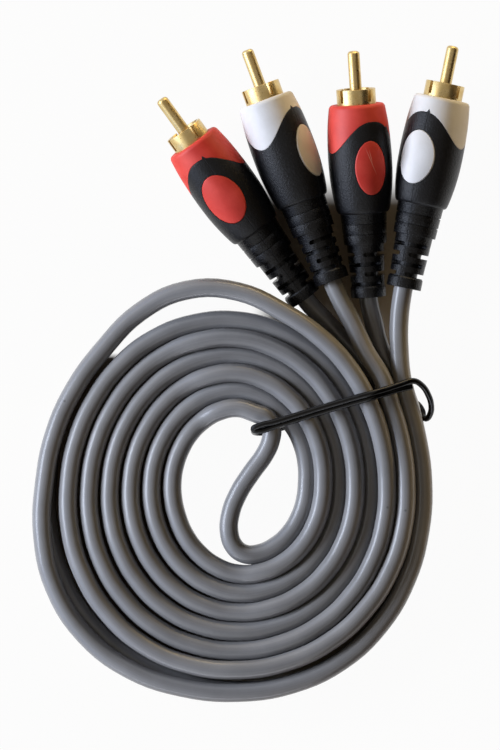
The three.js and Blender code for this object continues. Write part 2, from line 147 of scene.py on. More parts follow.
def outer_slack(angle):
    return (
        0.8 * rise(1185, 1230, angle) + 0.25 * rise(1380, 1440, angle)
        + 4.2 * hump(angle, 1184, 40) + 2.0 * hump(angle, 1297, 45) + 0.8 * hump(angle, 1385, 45)
    )


def outer_height(angle):
    ride_up = math.sqrt(max(0.0, CORD_DIAMETER**2 - around(COIL_PITCH, angle) ** 2))
    return min(CORD_RADIUS, ride_up) * (1 - rise(1230, 1290, angle)) + 3.6 * hump(angle, 1145, 80)


def inner_slack(angle):
    return 0.8 * rise(1350, 1430, angle)


def inner_height(angle):
    return CORD_RADIUS * rise(1290, 1400, angle)


# %% [markdown]
# The tie's wire passes under the coil, so the turns are lifted a little along its line. In
# the last turn at the lower left the twin cord has rolled over: its lower jacket shows beside
# the upper one, on the inside. `lean` says how far the pair has rolled there.

# %% The pair of jackets at a place
TIE_DIAMETER = 1.6
CLEARANCE = 0.3
TIE_UNDER = (Vector((3.6, -15.4)), Vector((43.6, -6.2)))
TIE_LIFT_REACH = 16.0
LEAN_MOST = math.radians(38)
WINDING_STEP = 15


def tie_lift(place):
    start, end = TIE_UNDER
    share = min(1.0, max(0.0, (place - start).dot(end - start) / (end - start).length_squared))
    away = (place - start.lerp(end, share)).length
    return (TIE_DIAMETER + CLEARANCE) * math.exp(-((away / TIE_LIFT_REACH) ** 2))


def pair(place, height, outward=Vector((0, 0)), lean=0.0):
    """The middles of the upper and the lower jacket, with the upper one kept in its place."""
    lower_height = CORD_RADIUS + height + tie_lift(place)
    apart = CORD_DIAMETER * Vector((*(outward * math.sin(lean)), math.cos(lean)))
    upper = Vector((place.x, place.y, lower_height + apart.z))
    return upper, upper - apart


def turn_distance(winding, slack, angle):
    turn = (angle - winding["turn_zero_at"]) / 180
    return around(COIL_BASE, angle) + around(COIL_PITCH, angle) * turn + slack(angle)


def winding_pairs(winding, slack, height, lean):
    pairs = []
    for angle in range(winding["start"], winding["end"] + 1, WINDING_STEP):
        outward = Vector((math.cos(math.radians(angle)), math.sin(math.radians(angle))))
        place = COIL_CENTRE + turn_distance(winding, slack, angle) * outward
        pairs.append(pair(place, height(angle), outward, lean(angle)))
    return pairs


def outer_lean(angle):
    return LEAN_MOST * hump(angle, 1302, 60)


outer_pairs = winding_pairs(OUTER_WINDING, outer_slack, outer_height, outer_lean)
inner_pairs = winding_pairs(INNER_WINDING, inner_slack, inner_height, lambda angle: 0.0)
bend_height = outer_height(OUTER_WINDING["start"])
bend_pairs = [
    pair(Vector(point), (1 - i / (len(MIDDLE_BEND) + 1)) * bend_height)
    for i, point in enumerate(MIDDLE_BEND, 1)
]
twin_pairs = outer_pairs[::-1] + bend_pairs + inner_pairs
print("windings:", len(twin_pairs), "places along the twin cord")

# %% [markdown]
# ## Where the plugs lie
#
# A plug rests on its widest part, and its axis rises or falls a little to where its lead
# leaves it. A plug is first made along Y with its front towards +Y. One matrix then carries
# it to its place: move, turn it over the table, tip it, and roll it about its own axis. Each
# plug has the middle of its collar's front face, the middle of the relief's end, the height
# of its cord there, and the roll, which says where its coloured moulding faces. That moulding
# sat more or less turned in the mould of the black grip, so the parting plane and the slots
# have a turn of their own.

# %% Plug places
BODY_LENGTH = 28.6
BODY_RADIUS = 8.4
BODY_WIDEST_AT = 15.0
CORE_LENGTH = 26.0
NECK_LENGTH = 8.2
RELIEF_LENGTH = 14.0
NECK_END = BODY_LENGTH + NECK_LENGTH
RELIEF_END = NECK_END + RELIEF_LENGTH
PLUGS = {
    "red_1": {"front": (-15.2, 60.9), "tail": (14.6, 19.75), "tail_height": 5.0, "roll": -16},
    "white_1": {"front": (4.0, 72.0), "tail": (21.7, 24.2), "tail_height": 8.4, "roll": 54},
    "red_2": {"front": (28.0, 70.87), "tail": (31.2, 20.47), "tail_height": 5.2, "roll": 28},
    "white_2": {"front": (50.55, 72.42), "tail": (40.34, 22.68), "tail_height": 8.4, "roll": -29},
}
MOULD_TURNS = {"red_1": 15.0, "white_1": -7.5, "red_2": 37.5, "white_2": 7.5}
PAD_TURNS = {"red_1": 0, "white_1": 0, "red_2": -8, "white_2": 0}
PAD_WIDTHS = {"red_1": 10.0, "white_1": 8.5, "red_2": 8.5, "white_2": 10.0}


def plug_place(front, tail, tail_height, roll):
    slope = (BODY_RADIUS - tail_height) / (RELIEF_END - BODY_WIDEST_AT)
    heading = math.atan2(front[1] - tail[1], front[0] - tail[0]) - math.pi / 2
    return (
        Matrix.Translation((front[0], front[1], BODY_RADIUS + slope * BODY_WIDEST_AT))
        @ Matrix.Rotation(heading, 4, "Z")
        @ Matrix.Rotation(math.atan(slope), 4, "X")
        @ Matrix.Rotation(math.radians(roll), 4, "Y")
    )


places = {name: plug_place(**plug) for name, plug in PLUGS.items()}
for name, place in places.items():
    print("plug:   ", name, "at", [round(v, 1) for v in place.translation])

# %% [markdown]
# ## The two jackets
#
# Each jacket is one unbroken tube from plug to plug, the upper one between the white plugs
# and the lower one between the red. A curve with a round bevel is the natural way: the curve
# is the cord's centreline and the bevel its thickness, and a Bezier spline with automatic
# handles passes smoothly through every point. The mesh that Blender draws for it is kept. The
# same curve without its thickness gives the centreline that the cord is measured by.

# %% Jackets from bevelled curves
LEADS = {
    "white_2": ((41.2, -6.4, 9.1), (39.8, -0.5, 9.35), (39.2, 6.2, 9.0), (39.15, 13.6, 8.6)),
    "red_2": (
        (40.9, -5.2, 4.3), (38.6, -0.8, 4.4), (35.9, 3.4, 4.9), (33.9, 8.0, 5.1), (32.5, 13.8, 5.2),
    ),
    "white_1": (
        (36.5, -6.8, 12.0), (34.7, -1.4, 11.8), (30.4, 5.8, 10.6), (26.9, 13.4, 9.2),
        (24.3, 18.4, 8.6),
    ),
    "red_1": (
        (36.5, -7.0, 6.6), (33.9, -2.3, 5.8), (30.7, 1.8, 4.3), (27.4, 5.7, 3.0),
        (23.7, 9.8, 2.7), (19.6, 14.2, 3.7),
    ),
}
LEAD_STRAIGHT = 1.5
CURVE_STEPS = 5
WELD = 0.01
INSIDE_PLUG = (
    RELIEF_END + LEAD_STRAIGHT, RELIEF_END - LEAD_STRAIGHT, RELIEF_END - RELIEF_LENGTH / 2,
    CORE_LENGTH + 2 * CLEARANCE,
)


def drawn_curve(name, points, radius, round_steps=0):
    """The mesh that Blender draws for a smooth curve through points in millimetres."""
    curve = bpy.data.curves.new(name, "CURVE")
    curve.dimensions = "3D"
    curve.resolution_u = CURVE_STEPS
    curve.bevel_depth = radius * MM
    curve.bevel_resolution = round_steps
    curve.use_fill_caps = True
    spline = curve.splines.new("BEZIER")
    spline.bezier_points.add(len(points) - 1)
    for handle, point in zip(spline.bezier_points, points):
        handle.co = Vector(point) * MM
        handle.handle_left_type = handle.handle_right_type = "AUTO"
    holder = new_object(name, curve)
    drawn = holder.evaluated_get(bpy.context.evaluated_depsgraph_get())
    mesh = bpy.data.meshes.new_from_object(drawn)
    bpy.data.objects.remove(holder)
    bpy.data.curves.remove(curve)
    return mesh


def tube_along(name, points, radius, round_steps, stands_for):
    """A round tube that rides on the object, and the points of its centreline in metres."""
    centreline = drawn_curve(name + "_line", points, 0)
    path = [vert.co.copy() for vert in centreline.vertices]
    bpy.data.meshes.remove(centreline)
    mesh = drawn_curve(name, points, radius, round_steps)
    bm = bmesh.new()
    bm.from_mesh(mesh)
    bmesh.ops.remove_doubles(bm, verts=bm.verts, dist=WELD * MM)
    bmesh.ops.recalc_face_normals(bm, faces=bm.faces)
    bm.to_mesh(mesh)
    bm.free()
    mesh.name = name
    mesh.shade_smooth()
    mesh.set_sharp_from_angle(angle=math.radians(60))
    tube = new_object(name, mesh)
    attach(tube, "root")
    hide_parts(*stands_for)
    return tube, path


def length_of(path):
    return sum((b - a).length for a, b in zip(path, path[1:]))


def lead_points(plug):
    """A lead from the coil to inside its plug."""
    inside = [places[plug] @ Vector((0, -back, 0)) for back in INSIDE_PLUG]
    return [Vector(point) for point in LEADS[plug]] + inside


def jacket_points(which, second_plug, first_plug):
    twin = [both[which] for both in twin_pairs]
    return lead_points(second_plug)[::-1] + twin + lead_points(first_plug)


upper_jacket, upper_path = tube_along(
    "cord_upper_jacket", jacket_points(0, "white_2", "white_1"), CORD_RADIUS, 6,
    ("cord_coil", "lead_white_1", "lead_white_2"),
)
lower_jacket, lower_path = tube_along(
    "cord_lower_jacket", jacket_points(1, "red_2", "red_1"), CORD_RADIUS, 6,
    ("cord_coil", "lead_red_1", "lead_red_2"),
)
for jacket, path in ((upper_jacket, upper_path), (lower_jacket, lower_path)):
    faces = len(jacket.data.polygons)
    print("jacket: ", jacket.name, round(length_of(path), 3), "m,", faces, "faces")

# %% [markdown]
# The web that joins the jackets is a strip a millimetre and a half wide. Most of it sinks
# into the two tubes, so a thin tube between them leaves just the fillet that shows.

# %% The web between the jackets
WEB_RADIUS = 0.8
between = [upper.lerp(lower, 0.5) for upper, lower in twin_pairs]
cord_web, web_path = tube_along("cord_web", between, WEB_RADIUS, 2, ("cord_coil",))
print("web:    ", round(length_of(web_path), 3), "m")

# %% [markdown]
# ## The tie
#
# A soft iron wire in a glossy black vinyl coat. It runs over the coil to an eye at the inner
# turn, back beside itself, round the outside in a loose hook, and underneath to the eye.

# %% The coated wire
TIE_ROUTE = (
    (42.4, -3.3, 13.4), (39.3, -4.0, 14.6), (35.6, -5.1, 15.8), (31.2, -6.4, 17.5),
    (26.2, -7.8, 16.8), (19.0, -9.9, 15.8), (11.8, -12.1, 15.6), (6.2, -13.8, 15.5),
    (2.4, -14.9, 15.4), (0.9, -14.5, 15.8), (2.2, -13.6, 16.4), (6.2, -12.6, 16.7),
    (11.8, -10.9, 16.8), (19.0, -8.7, 17.0), (26.2, -6.6, 18.0), (31.2, -5.2, 18.7),
    (35.8, -3.9, 17.1), (39.5, -2.7, 15.7), (42.8, -1.8, 14.2), (45.1, -3.0, 12.2),
    (46.8, -5.5, 10.0), (47.6, -8.2, 7.6), (47.4, -10.4, 5.6), (46.5, -11.7, 4.1),
    (45.7, -11.4, 2.8), (45.3, -9.6, 1.9), (43.7, -7.6, 1.2), (40.2, -6.2, 1.0),
    (30.0, -8.4, 1.0), (20.0, -11.0, 1.0), (10.0, -13.7, 1.0), (3.6, -15.4, 1.0),
    (1.5, -15.4, 1.9), (1.2, -14.6, 6.0), (1.15, -14.4, 12.8),
)
wire_tie, tie_path = tube_along(
    "coated_wire_tie", TIE_ROUTE, TIE_DIAMETER / 2, 4, ("wire_tie",)
)
print("tie:    ", round(length_of(tie_path) / MM), "mm")

# %% [markdown]
# ## Shaping tools
#
# Three steps make nearly every rigid piece of a plug. A closed outline is spun round the
# plug's axis, as on a lathe. A small bevel rounds the edges, because nothing moulded or
# turned is truly sharp, and it is the rounded edge that catches the light. Openings are cut
# last, with an exact boolean.

# %% Spin, round and cut
ROUND_STEPS = 96


def spun(outline, steps=ROUND_STEPS):
    """A closed outline of (distance back, radius) points, spun round the Y axis."""
    bm = bmesh.new()
    corners = [bm.verts.new((radius, -back, 0)) for back, radius in outline]
    edges = [bm.edges.new(ends) for ends in zip(corners, corners[1:] + corners[:1])]
    bmesh.ops.spin(
        bm, geom=corners + edges, cent=(0, 0, 0), axis=(0, 1, 0), dvec=(0, 0, 0),
        angle=math.tau, steps=steps, use_merge=True,
    )
    bmesh.ops.remove_doubles(bm, verts=bm.verts, dist=1e-4)
    bmesh.ops.recalc_face_normals(bm, faces=bm.faces)
    return bm


def bevelled(bm, edges, width, segments, **more):
    bmesh.ops.bevel(
        bm, geom=edges, offset=width, offset_type="OFFSET", affect="EDGES", segments=segments,
        profile=0.5, material=-1, **more,
    )
    return bm


def softened(bm, width, sharper_than=28):
    """Rounds every edge between faces that meet at more than the given angle."""
    limit = math.radians(sharper_than)
    edges = [edge for edge in bm.edges if edge.is_manifold and edge.calc_face_angle() > limit]
    return bevelled(bm, edges, width, 2, clamp_overlap=True)


def turn_on_axis(bm, angle):
    """Turns a shape about the plug's axis."""
    bmesh.ops.rotate(bm, cent=(0, 0, 0), matrix=Matrix.Rotation(angle, 3, "Y"), verts=bm.verts)


def loose_object(name, bm):
    mesh = bpy.data.meshes.new(name)
    bm.to_mesh(mesh)
    bm.free()
    return new_object(name, mesh)


def join(bm, other, matrix):
    """Adds a copy of the other shape, put in its place by the matrix."""
    passed = bpy.data.meshes.new("passed")
    other.to_mesh(passed)
    passed.transform(matrix)
    bm.from_mesh(passed)
    bpy.data.meshes.remove(passed)


def cut(bm, tool):
    """The first shape less the second."""
    block, knife = loose_object("block", bm), loose_object("knife", tool)
    modifier = block.modifiers.new("cut", "BOOLEAN")
    modifier.operation = "DIFFERENCE"
    modifier.solver = "EXACT"
    modifier.object = knife
    left = bmesh.new()
    left.from_object(block, bpy.context.evaluated_depsgraph_get())
    for used in (block, knife):
        mesh = used.data
        bpy.data.objects.remove(used)
        bpy.data.meshes.remove(mesh)
    bmesh.ops.remove_doubles(left, verts=left.verts, dist=WELD)
    return left


# %% [markdown]
# A finished piece's object sits at the origin and its place is in its mesh. Before the mesh
# is carried there, each vertex notes where it lies in the black mould, in millimetres. The
# materials read that note, so the parting line stays on the mould's plane.

# %% Finish a piece
SMOOTH_BELOW = math.radians(32)
THROUGH = 30.0  # longer than any plug is thick


def finished(name, bm, place, mould_turn, solid):
    """Puts a shape in its place as a piece that stands for a solid."""
    note = bm.verts.layers.float_vector.new("on_plug")
    to_mould = Matrix.Rotation(math.radians(-mould_turn), 3, "Y")
    for vert in bm.verts:
        vert[note] = to_mould @ vert.co
    bmesh.ops.transform(bm, matrix=Matrix.Scale(MM, 4) @ place, verts=bm.verts)
    piece = loose_object(name, bm)
    piece.data.shade_smooth()
    piece.data.set_sharp_from_angle(angle=SMOOTH_BELOW)
    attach(piece, "root")
    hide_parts(solid)
    return piece


# %% [markdown]
# ## Contact pin, ground ring and insulator
#
# The pin is turned from brass rod, 3.2 mm thick as the standard asks, and the ring is a
# pressed sleeve that springs over the socket, so it has four slots from its front edge. Both
# are gold plated. The slots are a cross, and the rings were pushed in at any turn.

# %% Turned and pressed metal
PIN_RADIUS = 1.6
PIN_TIP = -14.0
PIN_TIP_ROUND = 0.9
TAIL_RADIUS = 1.0
TAIL_END = 8.3
RING_FRONT = -4.0
RING_SEAT = 5.0
RING_RADIUS = 5.15
RING_BORE = 4.15
SLOT_WIDTH = 1.0
SLOT_LENGTH = 3.4
RING_EDGE = 0.16
INSULATOR_FACE = 2.5
INSULATOR_GAP = 0.15
INSULATOR_EDGE = 0.2
AXLE_STEPS = 48
RING_SLOTS_FACE = {"red_1": 21, "white_1": 24, "red_2": 42, "white_2": 45}


def contact_pin():
    tip = [
        (
            PIN_TIP + PIN_TIP_ROUND * (1 - math.sin(a)),
            PIN_RADIUS - PIN_TIP_ROUND * (1 - math.cos(a)),
        )
        for a in (math.radians(angle) for angle in (90, 72, 54, 36, 18, 0))
    ]
    tail = [
        (RING_SEAT, PIN_RADIUS), (RING_SEAT, TAIL_RADIUS), (TAIL_END, TAIL_RADIUS), (TAIL_END, 0),
    ]
    return spun([(PIN_TIP, 0), *tip, *tail], AXLE_STEPS)


def sleeve(front, back, bore, radius):
    """The outline of a straight sleeve."""
    return [(front, bore), (front, radius), (back, radius), (back, bore)]


def ground_ring(turn):
    ring = softened(spun(sleeve(RING_FRONT, RING_SEAT, RING_BORE, RING_RADIUS)), RING_EDGE)
    slots = bmesh.new()
    bmesh.ops.create_cube(slots, size=1)
    bmesh.ops.scale(slots, vec=(SLOT_WIDTH, 2 * SLOT_LENGTH, THROUGH), verts=slots.verts)
    bmesh.ops.translate(slots, vec=(0, -RING_FRONT, 0), verts=slots.verts)
    across = slots.copy()
    turn_on_axis(across, math.pi / 2)
    ring = cut(cut(ring, slots), across)
    turn_on_axis(ring, math.radians(turn))
    return ring


def insulator():
    hole, edge = PIN_RADIUS + INSULATOR_GAP, RING_BORE - INSULATOR_GAP
    return softened(spun(sleeve(INSULATOR_FACE, RING_SEAT, hole, edge), AXLE_STEPS), INSULATOR_EDGE)


# %% [markdown]
# ## The body's outline and the wavy edge between its colours
#
# The body swells from the collar to its widest a little behind the middle and draws in to the
# neck. The black edge is 4.5 mm back over the ovals and 12.4 mm back between them, where the
# coloured moulding reaches through as a tongue. A power of the sine of the angle from the
# oval's meridian follows that edge. Where the black mould's halves met, the vinyl crept
# forward a little and left a small point.

# %% Body radius and wavy edge
BODY_STATIONS = (
    (0, 7.3), (5.25, 8.0), (10.5, 8.32), (15.0, 8.4), (19.5, 8.25), (24.0, 7.75), (28.6, 6.9),
)
WAVE_CREST = 4.5
WAVE_TROUGH = 12.4
WAVE_POWER = 2.5
CREPT_LENGTH = 0.8
CREPT_HALF_WIDTH = 0.5
CORE_RADIUS = 5.9


def body_radius(back):
    """A smooth radius through the measured stations."""
    last = len(BODY_STATIONS) - 1
    i = max(n for n in range(last) if n == 0 or BODY_STATIONS[n][0] <= back)
    (b0, r0), (b1, r1) = BODY_STATIONS[i], BODY_STATIONS[i + 1]

    def steepness(n):
        (ba, ra), (bb, rb) = BODY_STATIONS[max(0, n - 1)], BODY_STATIONS[min(last, n + 1)]
        return (rb - ra) / (bb - ba)

    t = (back - b0) / (b1 - b0)
    rounded = (2 * t**3 - 3 * t**2 + 1) * r0 + (3 * t**2 - 2 * t**3) * r1
    leaning = (t**3 - 2 * t**2 + t) * steepness(i) + (t**3 - t**2) * steepness(i + 1)
    return rounded + (b1 - b0) * leaning


def wavy_edge(place, mould_turn):
    """How far back the black edge is, at the side of the plug where a point lies."""
    away = math.hypot(place.x, place.z)
    sine = abs(place.x) / away
    from_parting = math.atan2(place.x, place.z) - math.radians(mould_turn)
    off_parting = body_radius(WAVE_CREST) * abs(from_parting)
    crept = CREPT_LENGTH * max(0.0, 1 - off_parting / CREPT_HALF_WIDTH)
    return WAVE_CREST + (WAVE_TROUGH - WAVE_CREST) * sine**WAVE_POWER - crept


def slide(vert, back, inner):
    """Moves a vertex along the plug, and keeps an outer one on the body's surface."""
    away = math.hypot(vert.co.x, vert.co.z)
    radius = away if away < inner else body_radius(back)
    vert.co = (vert.co.x * radius / away, -back, vert.co.z * radius / away)


# %% [markdown]
# ## Coloured moulding: collar, core and oval pads
#
# This is one shot of vinyl in a mould. Its collar and tongues show at the front, its core
# runs inside the grip, and two oval pads stand up from the core to the surface. The spun
# outline has its last shown row straight across, and every row is then slid back until that
# last one follows the wavy edge.

# %% Collar and core
COLLAR_ROUND = 0.8
COLLAR_EDGE = 0.12
ROW_STEP = 0.4
ROW_COUNT = 24
SHOWN_ROWS = 10.0
SEAM = 0.05
WIRE_HOLE = 1.4


def collar(mould_turn):
    rounding = [
        (COLLAR_ROUND * (1 - math.cos(a)), body_radius(0) - COLLAR_ROUND * (1 - math.sin(a)))
        for a in (math.radians(angle) for angle in (0, 22.5, 45, 67.5))
    ]
    rows = [COLLAR_ROUND + ROW_STEP * i for i in range(ROW_COUNT)]
    bore, seat = RING_RADIUS + CLEARANCE / 2, RING_SEAT + CLEARANCE
    bm = spun([
        (0, bore), *rounding, *((back, body_radius(back)) for back in rows),
        (SHOWN_ROWS, CORE_RADIUS), (CORE_LENGTH, CORE_RADIUS),
        (CORE_LENGTH, WIRE_HOLE), (seat, WIRE_HOLE), (seat, bore),
    ])
    for vert in bm.verts:
        back = -vert.co.y
        away = math.hypot(vert.co.x, vert.co.z)
        if COLLAR_ROUND < back <= SHOWN_ROWS + 0.01 and away > CORE_RADIUS - 0.01:
            stretch = wavy_edge(vert.co, mould_turn) - SEAM - COLLAR_ROUND
            share = (back - COLLAR_ROUND) / (SHOWN_ROWS - COLLAR_ROUND)
            slide(vert, COLLAR_ROUND + share * stretch, CORE_RADIUS + 0.01)
    return softened(bm, COLLAR_EDGE, sharper_than=50)


# %% [markdown]
# A pad starts as a flat disc, inset ring by ring so that it has faces to bend. It is
# stretched to the oval, given a thickness, and its upper rim is rounded while it is flat and
# that is easy. Then its top is lifted onto the body's surface and its foot onto the core.

# %% Oval pads
OVAL_LENGTH = 14.3
OVAL_CENTRE = 16.5
OVAL_STEPS = 72
PAD_RINGS = 9
PAD_THICKNESS = 4.0
PAD_EDGE = 0.3
PAD_PROUD = 0.06
PAD_FOOT = 0.02


def oval_disc(width, grow, thickness):
    bm = bmesh.new()
    bmesh.ops.create_circle(bm, cap_ends=True, segments=OVAL_STEPS, radius=1)
    middle = bm.faces[:]
    step = 1 / (PAD_RINGS + 1)
    for _ in range(PAD_RINGS):
        bmesh.ops.inset_region(bm, faces=middle, thickness=step, use_even_offset=False)
    bmesh.ops.poke(bm, faces=middle)
    bmesh.ops.scale(bm, vec=(width / 2 + grow, OVAL_LENGTH / 2 + grow, 1), verts=bm.verts)
    bmesh.ops.translate(bm, vec=(0, -OVAL_CENTRE, 0), verts=bm.verts)
    grown = bmesh.ops.extrude_face_region(bm, geom=bm.faces[:])["geom"]
    top = [item for item in grown if isinstance(item, bmesh.types.BMVert)]
    bmesh.ops.translate(bm, vec=(0, 0, thickness), verts=top)
    bmesh.ops.recalc_face_normals(bm, faces=bm.faces)
    return bm


def oval_pad(width):
    bm = oval_disc(width, 0, PAD_THICKNESS)
    middle = PAD_THICKNESS / 2
    rim = [
        edge for edge in bm.edges
        if edge.calc_face_angle() > 1 and all(vert.co.z > middle for vert in edge.verts)
    ]
    bevelled(bm, rim, PAD_EDGE, 3)
    for vert in bm.verts:
        x, y, z = vert.co
        if z > middle:
            surface = math.sqrt(body_radius(-y) ** 2 - x * x)
            vert.co.z = surface + PAD_PROUD + z - PAD_THICKNESS
        else:
            vert.co.z = math.sqrt(CORE_RADIUS**2 - x * x) + PAD_FOOT
    return bm


def coloured_moulding(plug):
    bm = collar(MOULD_TURNS[plug])
    pad = oval_pad(PAD_WIDTHS[plug])
    for side in (0, math.pi):
        join(bm, pad, Matrix.Rotation(math.radians(PAD_TURNS[plug]) + side, 4, "Y"))
    pad.free()
    return bm


# %% [markdown]
# ## Black grip: body, ringed neck and slotted relief
#
# The second shot, in a mould of its own. The neck has three lands with fine grooves between
# them. The relief bends because it is slotted: each row has two long slots round the cord
# that leave two narrow ribs between them, and every other row is turned a quarter, so that
# the ribs never line up. A slot's tool is a bar with round ends, made straight and then bent
# round the cord.

# %% The grip
BODY_BACK_EDGE = ((27.9, 6.98), (28.35, 6.75), (BODY_LENGTH, 6.4))
GRIP_ROW_STEP = 0.6
GRIP_ROW_COUNT = 45
GRIP_EDGE = 0.09
NECK_FRONT_RADIUS = 6.1
NECK_BACK_RADIUS = 5.6
NECK_LANDS = 3
NECK_GROOVE_WIDTH = 0.24
NECK_GROOVE_DEPTH = 0.3
RELIEF_FRONT_RADIUS = 4.9
RELIEF_TAPER = (5.0, 4.7)
RELIEF_WAIST_RADIUS = 4.35
RELIEF_END_RADIUS = 4.6
RELIEF_END_BAND = 2.9
RELIEF_BAND_STEP = 0.3
RELIEF_FIRST_SLOT = 2.6
RELIEF_SLOT_PITCH = 2.6
RELIEF_SLOT_WIDTH = 1.1
RELIEF_SLOT_FLOOR = 2.9
RELIEF_SLOT_HALF_ANGLE = math.radians(75)
RELIEF_SLOT_ROWS = 4
SLOT_END_SHARE = 0.48
SLOT_BENDS = 10
SLIDE_END = 24.0
WINDOW_GAP = 0.1


def grip_outline():
    rows = [GRIP_ROW_STEP * i for i in range(GRIP_ROW_COUNT + 1)]
    outline = [*((back, body_radius(back)) for back in rows), *BODY_BACK_EDGE]
    narrowing = (NECK_BACK_RADIUS - NECK_FRONT_RADIUS) / NECK_LENGTH
    for i in range(NECK_LANDS):
        ends = [BODY_LENGTH + NECK_LENGTH * share / NECK_LANDS for share in (i, i + 1)]
        if i > 0:
            ends[0] += NECK_GROOVE_WIDTH / 2
        if i < NECK_LANDS - 1:
            ends[1] -= NECK_GROOVE_WIDTH / 2
        radii = [NECK_FRONT_RADIUS + narrowing * (back - BODY_LENGTH) for back in ends]
        outline += zip(ends, radii)
        if i < NECK_LANDS - 1:
            groove_floor = radii[1] - NECK_GROOVE_DEPTH
            outline += [(ends[1], groove_floor), (ends[1] + NECK_GROOVE_WIDTH, groove_floor)]
    waist = RELIEF_END - RELIEF_END_BAND
    outline += [
        (NECK_END, RELIEF_FRONT_RADIUS), (NECK_END + RELIEF_TAPER[0], RELIEF_TAPER[1]),
        (waist, RELIEF_WAIST_RADIUS), (waist + RELIEF_BAND_STEP, RELIEF_END_RADIUS),
        (RELIEF_END, RELIEF_END_RADIUS),
    ]
    bore, core_end = CORD_RADIUS + CLEARANCE / 2, CORE_LENGTH + CLEARANCE
    shell = CORE_RADIUS + CLEARANCE / 2
    return outline + [(RELIEF_END, bore), (core_end, bore), (core_end, shell), (0, shell)]


def bent_slot():
    """One slot's tool, over the top of the cord at the first row."""
    half_length = RELIEF_SLOT_HALF_ANGLE * RELIEF_FRONT_RADIUS
    tool = bmesh.new()
    bmesh.ops.create_cube(tool, size=1)
    bmesh.ops.scale(tool, vec=(2 * half_length, RELIEF_SLOT_WIDTH, 1), verts=tool.verts)
    upright = [
        edge for edge in tool.edges if abs(edge.verts[0].co.z - edge.verts[1].co.z) > 0.5
    ]
    bevelled(tool, upright, SLOT_END_SHARE * RELIEF_SLOT_WIDTH, 4)
    for i in range(1 - SLOT_BENDS, SLOT_BENDS):
        bmesh.ops.bisect_plane(
            tool, geom=tool.verts[:] + tool.edges[:] + tool.faces[:],
            plane_co=(i * half_length / SLOT_BENDS, 0, 0), plane_no=(1, 0, 0),
        )
    for vert in tool.verts:
        angle = vert.co.x / RELIEF_FRONT_RADIUS
        radius = RELIEF_SLOT_FLOOR if vert.co.z < 0 else RELIEF_FRONT_RADIUS + 1
        back = NECK_END + RELIEF_FIRST_SLOT - vert.co.y
        vert.co = (radius * math.sin(angle), -back, radius * math.cos(angle))
    bmesh.ops.recalc_face_normals(tool, faces=tool.faces)
    return tool


def relief_slots(mould_turn):
    """All eight slots as one tool."""
    tools, slot = bmesh.new(), bent_slot()
    for row in range(RELIEF_SLOT_ROWS):
        for side in (0, 2):
            turn = (side + row % 2) * math.pi / 2 + math.radians(mould_turn)
            back = Matrix.Translation((0, -row * RELIEF_SLOT_PITCH, 0))
            join(tools, slot, back @ Matrix.Rotation(turn, 4, "Y"))
    slot.free()
    return tools


def grip(plug):
    bm = spun(grip_outline())
    for vert in bm.verts:
        back = -vert.co.y
        if back < SLIDE_END:
            edge = wavy_edge(vert.co, MOULD_TURNS[plug])
            slide(vert, back + edge * (1 - back / SLIDE_END), CORE_RADIUS + CLEARANCE)
    bm = softened(bm, GRIP_EDGE, sharper_than=30)
    window = oval_disc(PAD_WIDTHS[plug], WINDOW_GAP, THROUGH)
    bmesh.ops.translate(window, vec=(0, 0, -THROUGH / 2), verts=window.verts)
    turn_on_axis(window, math.radians(PAD_TURNS[plug]))
    return cut(cut(bm, window), relief_slots(MOULD_TURNS[plug]))


# %% [markdown]
# ## Four plugs in their places
#
# The pins and insulators are all alike, so each is made once and copied. The rings and the
# mouldings sit at turns of their own in each plug, so those are made anew.

# %% Plugs in their places
alike = {"pin": contact_pin(), "insulator": insulator()}
plug_pieces = {}
for plug, place in places.items():
    ring = ground_ring(RING_SLOTS_FACE[plug] - PLUGS[plug]["roll"])
    shapes = {
        "pin": (alike["pin"].copy(), "pin", "contact"),
        "insulator": (alike["insulator"].copy(), "insulator", "insulator"),
        "ring": (ring, "ground_ring", "contact"),
        "collar": (coloured_moulding(plug), "collar", plug.split("_")[0] + "_moulding"),
        "grip": (grip(plug), "grip", "grip"),
    }
    made = plug_pieces[plug] = {
        part: finished(f"plug_{plug}_{part}", bm, place, MOULD_TURNS[plug], f"{plug}_{solid}")
        for part, (bm, solid, slot) in shapes.items()
    }
    print("plug:   ", plug, {part: len(piece.data.polygons) for part, piece in made.items()})
for shape in alike.values():
    shape.free()

# %% [markdown]

# %% [markdown]
# ## Materials
#
# Every finish is made from nodes. Colours are written as sRGB hex values, as a colour picker
# shows them, and one function turns them to the linear values that the shader needs. One
# small function adds a node, sets it up and links it, and a new material hands it back bound
# to its own node tree.

# %% Node helpers
def linear(hex_colour):
    """sRGB hex to linear red, green, blue and alpha."""
    parts = (int(hex_colour[i : i + 2], 16) / 255 for i in (1, 3, 5))
    return (*(v / 12.92 if v <= 0.04045 else ((v + 0.055) / 1.055) ** 2.4 for v in parts), 1.0)


def feed(node, inputs):
    """Gives each input a value, a colour in hex, or another node's output to link."""
    for name, value in inputs.items():
        if isinstance(value, bpy.types.Node):
            value = next(output for output in value.outputs if output.enabled)
        if isinstance(value, bpy.types.NodeSocket):
            node.id_data.links.new(value, node.inputs[name])
        else:
            node.inputs[name].default_value = linear(value) if isinstance(value, str) else value


def add(tree, kind, inputs=None, stops=(), **settings):
    """Adds a node. stops are a ramp's (position, colour) pairs."""
    node = tree.nodes.new("ShaderNode" + kind)
    for name, value in settings.items():
        setattr(node, name, value)
    for i, (position, colour) in enumerate(stops):
        stop = node.color_ramp.elements[i]
        stop.position, stop.color = position, linear(colour)
    feed(node, inputs or {})
    return node


